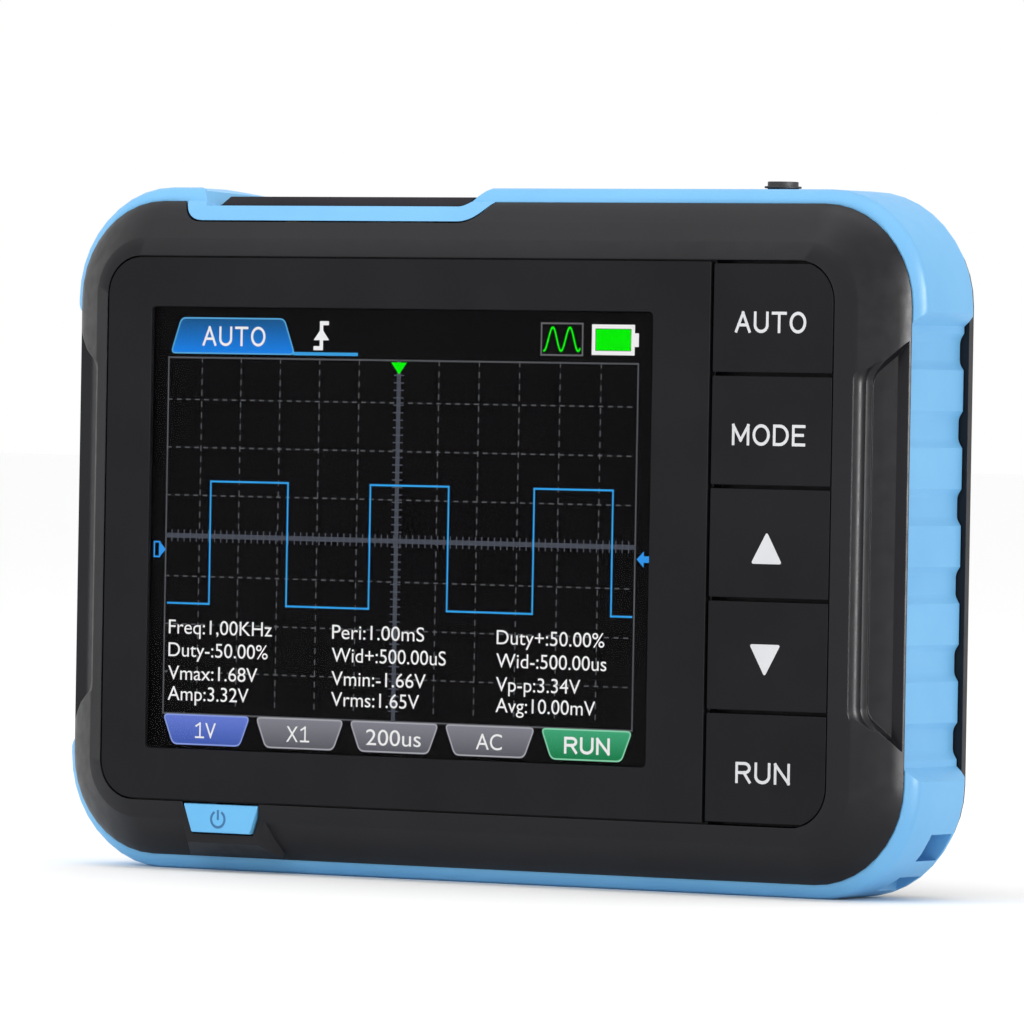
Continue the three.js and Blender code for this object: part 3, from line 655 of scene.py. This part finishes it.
def screen_words():
    words = screen_layer(3)
    cap = READOUT_CAP * UNIT_Z
    for left, lines, widths in READOUTS:
        for line, wide, base in zip(lines, widths, READOUT_ROWS):
            words.text(line, *on_screen(left, base), cap, wide * UNIT_X)
    auto = {"cap_height": 10.6 * UNIT_Z, "width": 41.0 * UNIT_X, "weight": 0.13}
    words.letters("AUTO", *on_screen(32.5, 21.0), **auto)
    labels = (("V", 38.5, 7.0), ("X", 91.5, 7.5), ("200us", 143.0, 35.0), ("AC", 213.0, 16.5))
    for label, left, wide in labels:
        words.text(label, *on_screen(left, LABEL_BASE), LABEL_CAP * UNIT_Z, wide * UNIT_X)
    for left in (32.0, 100.5):
        digit_one(words, left, LABEL_BASE, DIGIT_WIDE, LABEL_CAP)
    run = {"cap_height": 9.0 * UNIT_Z, "width": 28.5 * UNIT_X, "weight": 0.17}
    words.letters("RUN", *on_screen(268.5, 234.4), **run)
    words.build("screen_words", lit("screen_white", srgb(240, 240, 240)), "case", "display")


def trigger_sign(art):
    """Rising edge with an arrow half way up."""
    edge = ((105.9, 21.5), (109.8, 21.5), (109.8, 8), (113.4, 8))
    art.path([on_screen(u, v) for u, v in edge], SIGN_LINE * UNIT_X)
    art.polygon([on_screen(104.8, 17.2), on_screen(114.8, 17.2), on_screen(109.8, 10.6)])


def battery_sign(art):
    """Outline of a battery with its terminal on the right."""
    art.path(screen_box(282.5, 307, 8, 22), SIGN_LINE * UNIT_X, closed=True)
    screen_bar(art, 307.6, 310.6, 11.4, 18.6)


def sine_sign(left, wide, middle, half, cycles):
    """Display pixels along a cosine; they count down, so it starts at its lowest point."""
    turn = 2 * math.pi * cycles
    steps = range(SINE_STEPS + 1)
    return [(left + wide * i / SINE_STEPS, middle + half * math.cos(turn * i / SINE_STEPS)) for i in steps]


def status_signs():
    signs = screen_layer(3)
    trigger_sign(signs)
    battery_sign(signs)
    signs.build("screen_signs", lit("screen_sign_white", srgb(245, 245, 245)), "case", "display")

    green = screen_layer(2)
    screen_bar(green, 284.0, 305.5, 9.4, 20.6)
    middle, _ = GRID_MIDDLE
    green.polygon([on_screen(middle, 35.0), on_screen(middle + 5, 28.6), on_screen(middle - 5, 28.6)])
    wave = sine_sign(251.5, 22.5, 15, 6.2, cycles=2.1)
    green.path([on_screen(u, v) for u, v in wave], 1.0 * UNIT_X)
    green.build("screen_green_signs", lit("screen_green", srgb(0, 245, 0)), "case", "display")

    frame_line = screen_layer(1)
    frame_line.path(screen_box(249.8, 275.6, 6.6, 23.4), BORDER_LINE * UNIT_X, closed=True)
    frame_line.build("screen_sign_frame", lit("screen_frame_grey", srgb(104, 104, 108)), "case", "display")

    marks = screen_layer(2)
    marks.path(screen_box(3, 6.5, 128, 136), BORDER_LINE * UNIT_X, closed=True)
    marks.polygon([on_screen(6.5, 136.2), on_screen(10.6, 132), on_screen(6.5, 127.8)])
    marks.polygon([on_screen(311.6, 130.5), on_screen(316, 134.8), on_screen(316, 126.2)])
    screen_bar(marks, 316, 319.6, 128.8, 132.2)
    marks.build("screen_level_marks", lit("screen_mark_blue", srgb(50, 150, 235)), "case", "display")


# ---------- printed legends ----------

LEGEND_X = 35.0 * MM
LEGEND_RISE = 0.0003 * MM  # each stroke lies this much above the one before
LEGEND_LIFT = 0.004 * MM  # from the key to the ink
LEGEND_DROP = 0.4 * MM  # below the middle of the key
LEGEND_CAP = 2.05 * MM
LEGEND_WEIGHT = 0.14
RING_RADIUS, RING_LINE, RING_STEPS = 0.8 * MM, 0.25 * MM, 22
RING_GAP = math.radians(38)  # half of the gap at the top of the power symbol
RING_LEFT, RING_DROP, RING_STEM = 0.3 * MM, 0.05 * MM, 0.75 * MM


def legend_material():
    return moulded("legend_ink", srgb(206, 207, 210), srgb(216, 217, 220), 0.6, depth=0.01, edge=0)


def key_middle(name):
    """Height of the middle of a key's legend."""
    low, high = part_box("key_" + name)
    return (low.z + high.z) / 2 - LEGEND_DROP


def legend_sheet(node):
    low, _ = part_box(node)
    return Artwork(low.y - LEGEND_LIFT, rise=LEGEND_RISE)


def key_legends():
    ink = legend_material()
    for name, words, wide in (("auto", "AUTO", 7.95), ("mode", "MODE", 8.2), ("run", "RUN", 6.1)):
        sheet = legend_sheet("key_" + name)
        left = LEGEND_X - wide / 2 * MM
        low = key_middle(name) - LEGEND_CAP / 2
        sheet.letters(words, left, low, LEGEND_CAP, wide * MM, LEGEND_WEIGHT)
        sheet.build("legend_" + name, ink, "key_" + name, "key")
    for name, way in (("up", 1), ("down", -1)):
        sheet = legend_sheet("key_" + name)
        middle = key_middle(name)
        half, tall, radius = 1.75 * MM, 3.1 * MM, 0.35 * MM
        tip = [(-half, -tall / 2), (half, -tall / 2), (0, tall / 2)]
        corners = rounded_polygon(tip, radius)
        if way < 0:
            corners = [(x, -z) for x, z in reversed(corners)]
        sheet.polygon([(LEGEND_X + x, middle + z) for x, z in corners])
        sheet.build("legend_" + name, ink, "key_" + name, "key")


def power_legend():
    """The usual power symbol: a ring open at the top, with a stem."""
    low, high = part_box("power_button")
    middle = Vector(((low.x + high.x) / 2 - RING_LEFT, (low.z + high.z) / 2))
    sheet = legend_sheet("power_button")
    ring = []
    for i in range(RING_STEPS + 1):
        angle = math.pi / 2 + RING_GAP + (2 * math.pi - 2 * RING_GAP) * i / RING_STEPS
        across = middle.x + RING_RADIUS * math.cos(angle)
        up = middle.y - RING_DROP + RING_RADIUS * math.sin(angle)
        ring.append((across, up))
    sheet.path(ring, RING_LINE)
    sheet.stroke((middle.x, middle.y), (middle.x, middle.y + RING_STEM), RING_LINE)
    ink = moulded("power_ink", srgb(46, 108, 158), srgb(54, 118, 168), 0.5, edge=0)
    sheet.build("legend_power", ink, "power_button", "power_key")


def main():
    make_camera()
    make_studio()
    paint_nodes()
    graticule()
    waveform()
    tabs()
    status_signs()
    screen_words()
    key_legends()
    power_legend()


main()
